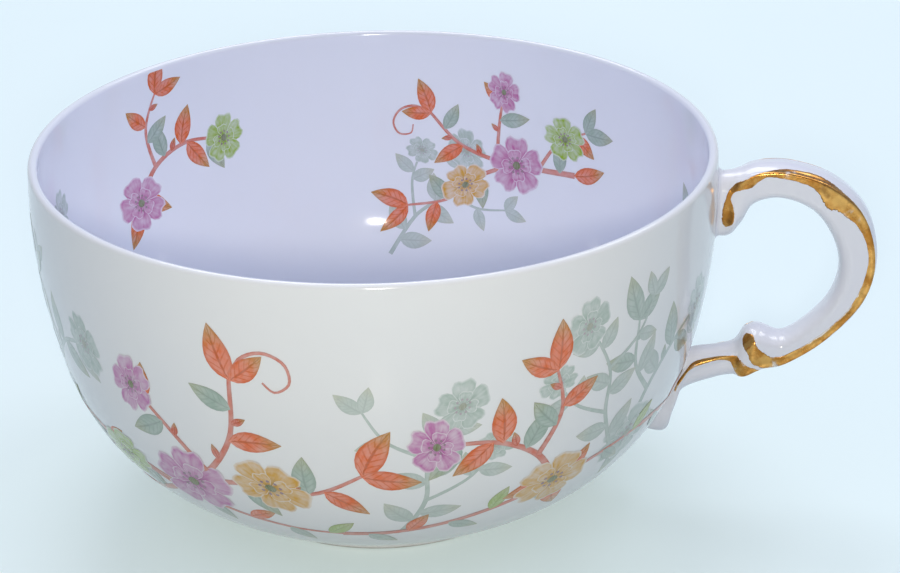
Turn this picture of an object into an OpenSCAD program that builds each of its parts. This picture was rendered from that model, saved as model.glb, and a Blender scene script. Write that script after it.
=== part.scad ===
// Flat tea cup in glazed porcelain: a wide, low bowl on a turned foot ring, with a cast C-scroll handle that is
// stuck on with slip at two places, and gilded lines along the ridges of the handle.
// Millimetres. The origin is on the cup's axis at table level, +Z is up and the handle points along +X.

/* [Bowl] */
// Outer diameter at the lip
rim_d = 95; // [86:0.5:106]
// Height from the table to the top of the lip
cup_h = 52; // [46:0.5:60]
// Thickness of the wall, rounded over fully at the lip
wall_t = 1.3; // [1:0.1:2.6]
// Lean of the wall towards the lip, in degrees
rim_lean = 4; // [1:0.5:7]
// Radius of the long curve of the upper wall
wall_arc = 84; // [70:1:110]
// Angle from upright at which the upper wall turns into the belly
belly_angle = 15; // [11:0.5:19]
// Thickness of the floor at the middle
floor_t = 2.7; // [2:0.1:4]

/* [Foot ring] */
// Outer diameter where the ring leaves the belly
foot_d = 48; // [42:0.5:56]
// Height of the ring below the belly
foot_h = 2; // [1.4:0.1:3]
// Width of the ring at the table
foot_w = 2.4; // [1.8:0.1:3.4]
// Draft of the ring's outer face
foot_draft = 0.6; // [0.2:0.1:1.2]
// Height of the recessed base above the table
recess_h = 2.2; // [1.6:0.1:3]

/* [Handle] */
// Reach of the loop beyond the wall
handle_reach = 24; // [20:0.5:30]
// Drop from the lip to the crown of the loop
crown_drop = 1.8; // [1:0.1:4]
// Height of the tip of the tail above the table
tail_rise = 8.4; // [6:0.1:12]
// Width of the loop across its side faces
handle_w = 6.2; // [5:0.1:8]
// Height of the moulded ridges
ridge_h = 0.4; // [0.2:0.05:0.6]
// Depth of the hollow along the side faces
hollow = 0.25; // [0:0.05:0.5]
// Height of the volute eye and of the lower curl
scroll_h = 0.45; // [0.2:0.05:0.7]

/* [Slip joints] */
// Thickness of the slip between handle and bowl
slip_t = 0.4; // [0.2:0.05:0.8]
// Width of the slip that laps out beyond the handle
slip_lap_w = 0.6; // [0.3:0.05:0.9]

/* [Gilding] */
// Thickness of the fired gold
gilt_t = 0.12; // [0.08:0.01:0.2]

/* [Hidden] */
porcelain = "#f2f2ee";
raw_slip = "#e4e1da";
gold = "#b07c36";
$fn = 144;

// Profile curves of the bowl. A slope of 0 runs straight down and 90 runs straight in to the axis, and every
// curve is an arc [centre, radius, first slope, last slope] that meets the next one without a kink.
function travel(slope) = [-sin(slope), -cos(slope)];
function inward(slope) = [-cos(slope), sin(slope)];
function at(arc, slope) = arc[0] - arc[1] * inward(slope);
function grown(arc, by) = [arc[0], arc[1] + by, arc[2], arc[3]];
function arc_points(arc, steps) =
    [for (i = [0 : steps]) at(arc, arc[2] + (arc[3] - arc[2]) * i / steps)];

// Two arcs that lead from point p at slope a to point q at slope b. The share sets how long the first is.
function biarc(p, a, q, b, share) =
    let (s = travel(a), t = travel(b), v = q - p,
         bend = 2 * share * (1 - s * t),
         run = 2 * (v * (t + share * s)),
         far = (sqrt(run * run + 4 * bend * (v * v)) - run) / (2 * bend),
         near = share * far,
         mid = (q - far * t) - (p + near * s),
         m = atan2(-mid.x, -mid.y),
         r1 = near / tan((m - a) / 2),
         r2 = far / tan((b - m) / 2))
    [[p + r1 * inward(a), r1, a, m], [q + r2 * inward(b), r2, m, b]];

arc_steps = 12;
lip_steps = 10;
lip_step = 180 / (lip_steps + 2);
round_steps = 4;
foot_angle = 69;
belly_share = 3;
floor_share = 1.2;
foot_round = 0.5;
base_dome = 0.3;
lip_c = [rim_d / 2 - wall_t / 2, cup_h - wall_t / 2];
wall_c = lip_c + (wall_arc - wall_t / 2) * inward(-rim_lean);
wall_curve = [wall_c, wall_arc, -rim_lean, belly_angle];
foot_top = [foot_d / 2, foot_h];
outer_curves = concat([wall_curve],
    biarc(at(wall_curve, belly_angle), belly_angle, foot_top, foot_angle, belly_share));
inner_wall = grown(wall_curve, -wall_t);
floor_z = recess_h + floor_t;
inner_curves = concat([inner_wall],
    biarc(at(inner_wall, belly_angle), belly_angle, [0, floor_z], 90, floor_share));

// Points of a chain of curves, each joint once.
function chain(curves, by = 0) =
    [for (k = [0 : len(curves) - 1], i = [k == 0 ? 0 : 1 : arc_steps])
        arc_points(grown(curves[k], by), arc_steps)[i]];
function reversed(list) = [for (i = [len(list) - 1 : -1 : 0]) list[i]];
function polar(r, angle) = r * [cos(angle), sin(angle)];
function turn(c, r, from, to, steps) = [for (i = [0 : steps]) c + polar(r, from + (to - from) * i / steps)];

// Outer radius of the bowl at height z, which lies on one of the curves.
function wall_x(z) =
    [for (arc = outer_curves)
        if (z <= at(arc, arc[2]).y && z >= at(arc, arc[3]).y)
            arc[0].x + sqrt(arc[1] * arc[1] - pow(z - arc[0].y, 2))][0];

// The handle is drawn on its own grid: the first number of a pair is the stand-off from the wall line in
// hundredths of the reach, the second is the depth below the crown in hundredths of the handle's height.
// The wall line runs through the wall at the middle depths of the two seats.
crown_z = cup_h - crown_drop;
handle_h = crown_z - tail_rise;
upper_seat = 16;
lower_seat = 82;
function grid_z(depth) = crown_z - depth * handle_h / 100;
function wall_line(z) =
    let (top = grid_z(upper_seat), low = grid_z(lower_seat))
    wall_x(low) + (wall_x(top) - wall_x(low)) * (z - low) / (top - low);
function on_grid(reach, depth) = [wall_line(grid_z(depth)) + reach * handle_reach / 100, grid_z(depth)];

// Stations from the upper root to the lower root: outer edge, inner edge, width in hundredths of the loop's.
STATIONS = [
    [-16, 4, -7, 24, 96],       // root in the wall
    [0, 3, 9, 25, 98],          // volute at the wall
    [6, 2, 15, 20, 104],        // volute
    [16, 0, 19, 13, 98],        // neck
    [35, 0, 33, 10.5, 100],     // crown
    [61, 4.5, 53, 14.5, 104],   // shoulder
    [84, 14.5, 69, 24, 106],    // upper bow
    [98, 31, 78, 35, 102],      // widest point
    [98, 46, 78, 46, 100],      // lower bow
    [84, 60, 70, 55, 98],       // heel
    [65, 70.5, 58, 61, 98],     // waist
    [52, 74, 44, 59, 102],      // curl
    [42, 77, 36, 60, 96],       // knuckle
    [36, 76.5, 32, 65, 74],     // step
    [26, 78, 22, 67, 72],       // arm
    [10, 84, 12, 68, 80],       // spread
    [8.5, 93, 6, 69, 84],       // tail
    [4, 100, -2, 70, 72],       // tip of the tail
    [-21, 97, -16, 72, 56]      // root in the wall
];
last_station = len(STATIONS) - 1;
upper_root_end = 2.5;
lower_root_start = 12.5;

// Smooth curve through a list of rows, with row i at u = i.
function through(rows, u) =
    let (n = len(rows) - 1, i = min(floor(u), n - 1), t = u - i,
         a = rows[max(i - 1, 0)], b = rows[i], c = rows[i + 1], d = rows[min(i + 2, n)])
    b + 0.5 * t * ((c - a) + t * ((2 * a - 5 * b + 4 * c - d) + t * (3 * (b - c) + d - a)));

function bump(x, half) = exp(-pow(x / half, 2));
function ramp(x, from, to) = let (t = min(max((x - from) / (to - from), 0), 1)) t * t * (3 - 2 * t);
function signed_pow(x, p) = sign(x) * pow(abs(x), p);

// Moulded relief on a section. A run is [start, full, fade, end] in stations, and a boss is [station, angle].
squareness = 0.78;
ridge_angle = 42;
ridge_half_angle = 10;
loop_ridge_run = [1.2, 2.6, 11.6, 12.6];
arm_ridge_run = [12.4, 13.2, 16, 17.4];
arm_ridge_angle = -27;
arm_ridge_swing_angle = 20;
arm_ridge_half_angle = 12;
hollow_run = [2, 3.5, 10, 11.5];
hollow_half_angle = 24;
volute_eye = [1.45, -22];
volute_half = [0.4, 20];
lower_curl = [11.3, -30];
curl_half = [0.5, 24];
function along(u, run) = ramp(u, run[0], run[1]) * (1 - ramp(u, run[2], run[3]));
function boss(u, a, place, half) = bump(u - place[0], half[0]) * bump(a - place[1], half[1]);
function arm_ridge_at(u) = arm_ridge_angle + arm_ridge_swing_angle * ramp(u, arm_ridge_run[1], arm_ridge_run[3]);
function relief(u, a) =
    ridge_h * along(u, loop_ridge_run) * bump(a - ridge_angle, ridge_half_angle)
    + ridge_h * along(u, arm_ridge_run) * bump(a - arm_ridge_at(u), arm_ridge_half_angle)
    + scroll_h * boss(u, a, volute_eye, volute_half)
    + scroll_h * boss(u, a, lower_curl, curl_half)
    - hollow * along(u, hollow_run) * bump(a, hollow_half_angle);

// Point of the handle's surface at station u and section angle a: 90 is the outer edge, -90 the inner edge,
// 0 the far side and 180 the near side. The lift moves the point out of the surface.
function skin(u, a, lift = 0) =
    let (row = through(STATIONS, u),
         outer = on_grid(row[0], row[1]), inner = on_grid(row[2], row[3]),
         mid = (outer + inner) / 2, half = (outer - inner) / 2, unit = half / norm(half),
         folded = a <= 90 ? a : 180 - a,
         push = lift + relief(u, folded),
         y = handle_w / 200 * row[4] * signed_pow(cos(a), squareness) + push * cos(a),
         p = mid + half * signed_pow(sin(a), squareness) + unit * push * sin(a))
    [p.x, y, p.y];

// Section angles, closer together at the ridges.
HALF_ANGLES = [-90, -64, -44, -28, -14, 0, 14, 26, 35, 42, 49, 58, 72];
ANGLES = concat(HALF_ANGLES, [90], [for (i = [len(HALF_ANGLES) - 1 : -1 : 1]) 180 - HALF_ANGLES[i]]);
rings_per_station = 4;

// Solid between stations from and to, made of rings of skin points.
module loft(from, to, lift = 0) {
    rings = round((to - from) * rings_per_station);
    n = len(ANGLES);
    points = [for (i = [0 : rings], a = ANGLES) skin(from + (to - from) * i / rings, a, lift)];
    middle = [for (i = [0, rings]) (points[i * n] + points[i * n + len(HALF_ANGLES)]) / 2];
    first = len(points);
    sides = [for (i = [0 : rings - 1], j = [0 : n - 1])
        let (a = i * n + j, b = i * n + (j + 1) % n)
        each [[a, b + n, b], [a, a + n, b + n]]];
    caps = [for (j = [0 : n - 1])
        let (k = (j + 1) % n)
        each [[first, j, k], [first + 1, rings * n + k, rings * n + j]]];
    polyhedron(concat(points, middle), concat(sides, caps));
}

// Thin film on the skin. Each rib is a line across the stroke: [station, angle] at one edge and the other.
film_columns = 5;
film_steps = 2;
module film(ribs) {
    rows = (len(ribs) - 1) * film_steps;
    n = film_columns + 1;
    base = (rows + 1) * n;
    function spot(i, j) =
        let (rib = through(ribs, i / film_steps), t = j / film_columns)
        [rib[0] + (rib[2] - rib[0]) * t, rib[1] + (rib[3] - rib[1]) * t];
    points = [for (lift = [0, gilt_t], i = [0 : rows], j = [0 : film_columns])
        let (s = spot(i, j)) skin(s[0], s[1], lift)];
    under = [for (i = [0 : rows - 1], j = [0 : film_columns - 1])
        let (a = i * n + j) each [[a, a + n + 1, a + 1], [a, a + n, a + n + 1]]];
    over = [for (f = under) [f[0] + base, f[2] + base, f[1] + base]];
    rim = concat([for (j = [0 : film_columns - 1]) j],
                 [for (i = [0 : rows - 1]) i * n + film_columns],
                 [for (j = [film_columns : -1 : 1]) rows * n + j],
                 [for (i = [rows : -1 : 1]) i * n]);
    edge = [for (k = [0 : len(rim) - 1])
        let (a = rim[k], b = rim[(k + 1) % len(rim)])
        each [[a, b, a + base], [b, b + base, a + base]]];
    polyhedron(points, concat(under, over, edge));
}

// Strokes of gold: round the volute eye, along the ridge with a broad patch at the bow, and round the lower
// curl; then from the knuckle along the arm to the tail.
LOOP_RIBS = [
    [0.84, -22, 1.02, -26], [0.78, -13, 1.34, -19], [0.78, -4, 1.47, -10], [0.8, 5, 1.36, 1],
    [0.88, 17, 1.2, 13], [0.98, 28, 1.3, 22], [1.16, 38, 1.68, 26], [1.62, 45, 2.16, 21],
    [2.25, 43, 2.66, 10], [2.78, 42, 3.02, 14], [3.18, 48, 3.32, 28], [3.48, 58, 3.58, 31],
    [3.8, 66, 3.86, 25], [4.16, 72, 4.18, 22], [4.5, 74, 4.52, 22], [4.76, 71, 4.86, 0],
    [4.96, 67, 5.12, -10], [5.16, 62, 5.32, -4], [5.38, 55, 5.5, 5], [5.64, 48, 5.74, 7],
    [5.96, 44, 6, 13], [6.34, 44, 6.34, 20], [6.72, 45, 6.7, 25], [7.1, 46, 7.06, 23],
    [7.56, 45, 7.5, 16], [8.1, 43, 8.04, 11], [8.7, 42, 8.7, 8], [9.3, 42, 9.32, 8],
    [9.8, 40, 9.86, 5], [10.3, 37, 10.36, 6], [10.8, 32, 10.72, 2], [11.3, 14, 11, -8],
    [11.74, -5, 11.24, -26], [12.08, -28, 11.28, -43], [12.22, -54, 11.4, -57], [11.98, -68, 11.66, -67]
];
BRACKET_RIBS = [
    [11.5, 37, 11.5, 19], [11.9, 44, 11.84, 8], [12.4, 56, 12.14, 1], [12.78, 28, 12.4, -7],
    [13.06, 0, 12.84, -18], [13.44, -12, 13.38, -30], [13.95, -19, 13.98, -36], [14.5, -17, 14.6, -35],
    [15.1, -12, 15.3, -29], [15.7, -9, 16, -22], [16.2, -4, 16.5, -11], [16.45, 1, 16.62, -3]
];
// The strokes on the far side were painted a little lower: their upper edge stops at the ridge.
far_edge_angle = 46;
function lowered(ribs) =
    [for (r = ribs) [r[0], min(r[1], far_edge_angle), r[2], min(r[3], far_edge_angle)]];

// Solid of revolution inside the bowl's outer surface, grown by a given distance.
module bowl_bulk(by) {
    outline = chain(outer_curves, by);
    rotate_extrude()
        polygon(concat([[0, outline[0].y]], outline, [[0, outline[len(outline) - 1].y]]));
}

// Shell of slip thickness on the bowl's outer surface.
module slip_shell() {
    rotate_extrude()
        polygon(concat(chain(outer_curves, slip_t), reversed(chain(outer_curves))));
}

// Profile of the bowl: over the lip, down the outside, under the foot ring and the base, and up the inside.
module bowl() {
    lip = turn(lip_c, wall_t / 2, 180 + rim_lean - lip_step, rim_lean + lip_step, lip_steps);
    ring_out = foot_d / 2 - foot_draft;
    ring_in = ring_out - foot_w;
    foot = concat(turn([ring_out - foot_round, foot_round], foot_round, 0, -90, round_steps),
                  turn([ring_in + foot_round, foot_round], foot_round, -90, -180, round_steps));
    base = [[ring_in - foot_draft, recess_h], [0, recess_h + base_dome]];
    color(porcelain)
        rotate_extrude()
            polygon(concat(lip, chain(outer_curves), foot, base, reversed(chain(inner_curves))));
}

module handle() {
    color(porcelain)
        difference() {
            loft(0, last_station);
            bowl_bulk(slip_t);
        }
}

module slip_joint(from, to) {
    color(raw_slip)
        intersection() {
            slip_shell();
            loft(from, to, slip_lap_w);
        }
}

module upper_slip_joint() {
    slip_joint(0, upper_root_end);
}

module lower_slip_joint() {
    slip_joint(lower_root_start, last_station);
}

module near_loop_gilding() {
    color(gold) mirror([0, 1, 0]) film(LOOP_RIBS);
}

module far_loop_gilding() {
    color(gold) film(lowered(LOOP_RIBS));
}

module near_bracket_gilding() {
    color(gold) mirror([0, 1, 0]) film(BRACKET_RIBS);
}

module far_bracket_gilding() {
    color(gold) film(lowered(BRACKET_RIBS));
}

bowl();
handle();
upper_slip_joint();
lower_slip_joint();
near_loop_gilding();
far_loop_gilding();
near_bracket_gilding();
far_bracket_gilding();
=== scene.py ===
# %% [markdown]
# # A flat tea cup in gilded porcelain
#
# The cup is a wide, low porcelain bowl on a turned foot ring, with a cast scroll handle stuck on with
# slip. Gold runs along the ridges of the handle, and fired flower prints lie on the glaze outside and
# inside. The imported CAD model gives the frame: its solids say where everything is. They are faceted, so
# this lesson makes each piece again as a fine surface, in millimetres and by nearly the same formulas,
# and dresses it with procedural finishes. A few stations of the handle are trimmed by up to 0.4 mm,
# closer to the photographed outline.

# %% Load the frame
import math

import bpy
import numpy as np
from mathutils import Matrix


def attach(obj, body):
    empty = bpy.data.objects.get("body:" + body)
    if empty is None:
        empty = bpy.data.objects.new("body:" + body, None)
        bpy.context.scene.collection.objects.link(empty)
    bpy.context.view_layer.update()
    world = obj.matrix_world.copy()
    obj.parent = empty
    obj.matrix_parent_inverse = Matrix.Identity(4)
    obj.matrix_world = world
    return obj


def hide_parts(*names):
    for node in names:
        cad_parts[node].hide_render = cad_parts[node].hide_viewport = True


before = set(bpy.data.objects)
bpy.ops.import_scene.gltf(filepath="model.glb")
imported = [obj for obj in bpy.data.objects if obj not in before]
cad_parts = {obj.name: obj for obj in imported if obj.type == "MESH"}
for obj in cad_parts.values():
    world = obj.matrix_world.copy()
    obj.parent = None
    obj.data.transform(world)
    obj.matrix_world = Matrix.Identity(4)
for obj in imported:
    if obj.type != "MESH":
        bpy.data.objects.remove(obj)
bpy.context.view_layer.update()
MM = 0.001
print("CAD nodes:", sorted(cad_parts))

# %% [markdown]
# ## Camera
#
# The camera comes first, because everything is judged through it. It stands in front of the cup and
# somewhat above it, with the handle pointing to the right. Its place and its three angles were fitted to
# the ellipse of the lip, to the outline of the bowl and to the handle, so the render can be laid over the
# photograph.

# %% Camera
SENSOR_MM = 36.0
LENS_MM = 88.0
NEAREST_M = 0.01
EYE = (44.5, -281.2, 164.1)
YAW, PITCH, ROLL = math.radians(-6.93), math.radians(25.35), math.radians(-0.80)


def camera_axes(yaw, pitch, roll):
    """Right, up and forward of a camera along +Y that is turned right by yaw, down by pitch, then rolled."""
    forward = np.array([math.sin(yaw) * math.cos(pitch), math.cos(yaw) * math.cos(pitch), -math.sin(pitch)])
    level = np.cross(forward, [0, 0, 1])
    level /= np.linalg.norm(level)
    right = math.cos(roll) * level + math.sin(roll) * np.cross(level, forward)
    return right, np.cross(right, forward), forward


def set_up(thing, axes, at_mm):
    """Puts a camera or a lamp at a place, with its own three axes in the columns of axes."""
    bpy.context.scene.collection.objects.link(thing)
    thing.matrix_world = Matrix([[*row, at * MM] for row, at in zip(axes, at_mm)] + [[0, 0, 0, 1]])


camera_data = bpy.data.cameras.new("camera")
camera_data.lens = LENS_MM
camera_data.sensor_width = SENSOR_MM
camera_data.clip_start = NEAREST_M
camera = bpy.data.objects.new("camera", camera_data)
right, up, forward = camera_axes(YAW, PITCH, ROLL)
set_up(camera, np.stack([right, up, -forward], 1), EYE)
bpy.context.scene.camera = camera
print("camera at", EYE, "mm, looking along", forward.round(3))

# %% [markdown]
# ## Node helpers
#
# Finishes are built from shader nodes. A few short helpers keep that readable: one adds a node and sets
# or links its inputs, and the others wrap the nodes that are used most.

# %% Node helpers
COLOUR_A, COLOUR_B, COLOUR_OUT = 6, 7, 2


def srgb(red, green, blue):
    """Linear colour of a screen colour given as 0 to 255."""
    share = np.array([red, green, blue]) / 255
    return (*np.where(share <= 0.04045, share / 12.92, ((share + 0.055) / 1.055) ** 2.4), 1.0)


def feed(tree, node, inputs):
    """Sets each named input of a node to a value, or links it to a socket."""
    for key, value in inputs.items():
        if isinstance(value, bpy.types.NodeSocket):
            tree.links.new(value, node.inputs[key])
        else:
            node.inputs[key].default_value = value


def add(tree, kind, inputs, **settings):
    """A new node with its settings and its inputs."""
    node = tree.nodes.new(kind)
    for key, value in settings.items():
        setattr(node, key, value)
    feed(tree, node, inputs)
    return node


def maths(tree, operation, a, b=0.0, clamp=False):
    """Result of a Math node."""
    return add(tree, "ShaderNodeMath", {0: a, 1: b}, operation=operation, use_clamp=clamp).outputs[0]


def times(tree, a, b):
    """Product of two values."""
    return maths(tree, "MULTIPLY", a, b)


def plus(tree, a, b, clamp=False):
    """Sum of two values."""
    return maths(tree, "ADD", a, b, clamp)


def larger(tree, a, b):
    """The larger of two values."""
    return maths(tree, "MAXIMUM", a, b)


def scaled(tree, value, factor, offset):
    """A value times a factor plus an offset."""
    return add(tree, "ShaderNodeMath", {0: value, 1: factor, 2: offset}, operation="MULTIPLY_ADD").outputs[0]


def mix(tree, share, a, b):
    """Colour between a and b."""
    inputs = {0: share, COLOUR_A: a, COLOUR_B: b}
    return add(tree, "ShaderNodeMix", inputs, data_type="RGBA").outputs[COLOUR_OUT]


def rise(tree, value, low, high, to_low=0.0, to_high=1.0):
    """Smooth step of a value from to_low at low to to_high at high."""
    inputs = {0: value, 1: low, 2: high, 3: to_low, 4: to_high}
    return add(tree, "ShaderNodeMapRange", inputs, interpolation_type="SMOOTHSTEP").outputs[0]


def noise(tree, where, scale, detail=2.0, roughness=0.5):
    """Noise value at a place, about 0.5 on average."""
    inputs = {"Vector": where, "Scale": scale, "Detail": detail, "Roughness": roughness}
    return add(tree, "ShaderNodeTexNoise", inputs).outputs["Fac"]


def bumped(tree, strength, depth, height):
    """Normal that a height bends, where depth is the real depth of the bumps in metres."""
    return add(tree, "ShaderNodeBump", {"Strength": strength, "Distance": depth, "Height": height}).outputs[0]


def joined(tree, x, y, z):
    """Vector made of three values."""
    return add(tree, "ShaderNodeCombineXYZ", {0: x, 1: y, 2: z}).outputs[0]


def parts(tree, vector):
    """The X, Y and Z of a vector."""
    return add(tree, "ShaderNodeSeparateXYZ", {0: vector}).outputs


def reading(tree, name):
    """What the mesh says under a name: Fac for a number, Color and Alpha for a colour."""
    return add(tree, "ShaderNodeAttribute", {}, attribute_name=name).outputs


def place(tree):
    """The object's own coordinates, in metres."""
    return add(tree, "ShaderNodeTexCoord", {}).outputs["Object"]


def new_finish(name):
    """A new material: itself, its node tree and its Principled shader."""
    material = bpy.data.materials.new(name)
    material.use_nodes = True
    return material, material.node_tree, material.node_tree.nodes["Principled BSDF"]


print("node helpers ready")

# %% [markdown]
# ## Grids
#
# Nearly every shape here is a grid of points, worked out as one array. Its faces follow from the numbers
# of rows and columns alone, so one function makes them for all, and others close a ring or a tube with
# fans of triangles.

# %% Grids


def quads_of(rows, cols, around=False, closed=False):
    """Faces of a grid of points; around joins the last column to the first, closed the last row too."""
    i = np.arange(rows if closed else rows - 1)[:, None]
    j = np.arange(cols if around else cols - 1)[None, :]
    down, across = (i + 1) % rows, (j + 1) % cols
    corners = [i * cols + j, i * cols + across, down * cols + across, down * cols + j]
    return np.stack(corners, -1).reshape(-1, 4)


def fan(ring, centre):
    """Triangles from a closed ring of point numbers to one centre point."""
    return np.stack([ring, np.roll(ring, -1), np.full(len(ring), centre)], -1)


def capped(rings, poles):
    """Points and faces of a tube of rings, closed by a fan from its first and last ring to their poles."""
    count, around = rings.shape[:2]
    first, last = np.arange(around)[::-1], (count - 1) * around + np.arange(around)
    caps = [fan(first, count * around), fan(last, count * around + 1)]
    return np.vstack([rings.reshape(-1, 3), poles]), [quads_of(count, around, around=True), *caps]


def new_object(name, points, face_groups, finish):
    """An object at the origin whose mesh holds these points, given in millimetres, and faces."""
    mesh = bpy.data.meshes.new(name)
    faces = [face for group in face_groups for face in group.tolist()]
    mesh.from_pydata((np.asarray(points) * MM).tolist(), [], faces)
    mesh.shade_smooth()
    mesh.materials.append(finish)
    made = bpy.data.objects.new(name, mesh)
    bpy.context.scene.collection.objects.link(made)
    return made


print("a grid of 3 by 4 points has", len(quads_of(3, 4)), "faces")

# %% [markdown]
# ## Floor
#
# The floor is a wide pale disc with a faint cool tint, like a white table in daylight. Far from the cup
# it sweeps up into a backdrop for low views. Its glow is for the eye and for reflections only: the table
# looks white without throwing light on the cup, and keeps the cup's shadow.

# %% Floor
FLOOR_RADIUS = 1500.0
FLOOR_DROP = 0.02
SWEEP_FROM, SWEEP_H = 750.0, 480.0
FLOOR_RINGS, FLOOR_SPOKES = 24, 96
FLOOR_COOL, FLOOR_PALE = (0.50, 0.58, 0.62, 1.0), (0.54, 0.61, 0.64, 1.0)
FLOOR_GLOW, FLOOR_GLOW_LEVEL = (0.88, 1.0, 0.90, 1.0), 0.34


def floor_finish():
    """Pale satin table top whose tint drifts a little."""
    material, tree, shader = new_finish("pale_table")
    ray = add(tree, "ShaderNodeLightPath", {}).outputs
    seen = larger(tree, ray["Is Camera Ray"], larger(tree, ray["Is Glossy Ray"], ray["Is Transmission Ray"]))
    drift = noise(tree, place(tree), 7.0)
    feed(tree, shader, {
        "Base Color": mix(tree, drift, FLOOR_COOL, FLOOR_PALE), "Roughness": 0.32, "Specular IOR Level": 0.35,
        "Emission Color": FLOOR_GLOW, "Emission Strength": times(tree, seen, FLOOR_GLOW_LEVEL)})
    return material


radii = np.linspace(FLOOR_RADIUS / FLOOR_RINGS, FLOOR_RADIUS, FLOOR_RINGS)[:, None]
spokes = np.linspace(0, 2 * np.pi, FLOOR_SPOKES, endpoint=False)[None, :]
sweep = SWEEP_H * np.clip((radii - SWEEP_FROM) / (FLOOR_RADIUS - SWEEP_FROM), 0, 1) ** 2
floor_rings = np.stack([radii * np.cos(spokes), radii * np.sin(spokes), sweep - FLOOR_DROP + 0 * spokes], -1)
floor_points = np.vstack([floor_rings.reshape(-1, 3), [0, 0, -FLOOR_DROP]])
floor_faces = quads_of(FLOOR_RINGS, FLOOR_SPOKES, around=True)[:, ::-1]
floor_middle = fan(np.arange(FLOOR_SPOKES), len(floor_points) - 1)
new_object("floor", floor_points, [floor_faces, floor_middle], floor_finish())
print("floor", FLOOR_RADIUS, "mm in radius, rising", SWEEP_H, "mm at its rim")

# %% [markdown]
# ## Light
#
# The light is that of a room: a soft world that is cool above, bluer and dimmer at the sides, and neutral
# in front, behind the viewer. It has no edges, so the glaze shows no hard shapes. Two broad lamps high
# behind the cup lay soft gleams on its upper faces, and a small warm one beside the viewer adds the
# sparks that glaze and gold show.

# %% Light
SKY_ABOVE, SKY_SIDE, SKY_FRONT = (0.58, 0.64, 0.82, 1.0), (0.10, 0.15, 0.36, 1.0), (0.20, 0.20, 0.21, 1.0)
COOL_LIGHT, WARM_LIGHT = (0.95, 0.97, 1.0), (1.0, 0.95, 0.84)
AIM = (0.0, 0.0, 30.0)


def round_lamp(name, at_mm, across_mm, watts, colour):
    """A round lamp at a place that faces the aim point."""
    data = bpy.data.lights.new(name, "AREA")
    data.shape = "DISK"
    data.size = across_mm * MM
    data.energy = watts
    data.color = colour
    back = np.subtract(at_mm, AIM)
    side = np.cross([0, 0, 1], back)
    side = side / np.linalg.norm(side)
    back = back / np.linalg.norm(back)
    set_up(bpy.data.objects.new(name, data), np.stack([side, np.cross(back, side), back], 1), at_mm)


def room_light():
    """World that changes softly with direction: from side to zenith by height, and another tint in front."""
    world = bpy.data.worlds.new("bright_room")
    world.use_nodes = True
    bpy.context.scene.world = world
    tree = world.node_tree
    way = parts(tree, add(tree, "ShaderNodeTexCoord", {}).outputs["Generated"])
    around = mix(tree, rise(tree, way["Z"], 0.0, 0.85), SKY_SIDE, SKY_ABOVE)
    colour = mix(tree, rise(tree, way["Y"], -0.95, -0.1, 1.0, 0.0), around, SKY_FRONT)
    feed(tree, tree.nodes["Background"], {"Color": colour})


round_lamp("left_lamp", (-120, 400, 640), 420, 1.8, COOL_LIGHT)
round_lamp("right_lamp", (330, 380, 640), 300, 0.9, COOL_LIGHT)
round_lamp("front_lamp", (44, -284, 154), 24, 0.37, WARM_LIGHT)
room_light()
bpy.context.scene.view_settings.view_transform = "Standard"
print("lamps:", ", ".join(lamp.name for lamp in bpy.data.lights))

# %% [markdown]
# ## Making a piece
#
# Each piece is one array of points and a few arrays of faces. The maker turns the faces outwards by the
# sign of the enclosed volume, counts the edges that don't have two faces, lets the piece ride on the
# cup's only body, and hides the CAD nodes that it stands for. Points can also carry numbers of their own,
# which a finish reads by their name.

# %% Making a piece


def enclosed(points, face_groups):
    """Volume inside the faces, from the tetrahedra that their triangles make with the origin."""
    triangles = [f[:, [0, k, k + 1]] for f in face_groups for k in range(1, f.shape[1] - 1)]
    a, b, c = (points[np.vstack(triangles)[:, k]] for k in range(3))
    return np.einsum("ij,ij->", a, np.cross(b, c)) / 6


def outwards(points, face_groups):
    """The same faces, turned round if they enclose a negative volume."""
    return [f[:, ::-1] for f in face_groups] if enclosed(points, face_groups) < 0 else face_groups


def open_edges(face_groups):
    """How many edges don't have exactly two faces."""
    edges = np.vstack([np.stack([f, np.roll(f, -1, 1)], -1).reshape(-1, 2) for f in face_groups])
    return int((np.unique(np.sort(edges, 1), axis=0, return_counts=True)[1] != 2).sum())


def set_values(piece, name, values):
    """Gives each point of a piece a number that finishes can read by its name."""
    made = piece.data.attributes.new(name, "FLOAT", "POINT")
    made.data.foreach_set("value", np.asarray(values, np.float32))


def make_piece(name, points, face_groups, finish, stands_for=()):
    """A closed piece of the cup, outwards all over, on the body that every piece of a cup belongs to."""
    face_groups = outwards(points, face_groups)
    made = new_object(name, points, face_groups, finish)
    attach(made, "root")
    if stands_for:
        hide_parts(*stands_for)
    triangles = sum(len(f) * (f.shape[1] - 2) for f in face_groups)
    volume = enclosed(points, face_groups)
    print(f"{name}: {triangles} triangles, {volume:.1f} mm3, {open_edges(face_groups)} open edges")
    return made


print("piece maker ready")
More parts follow.
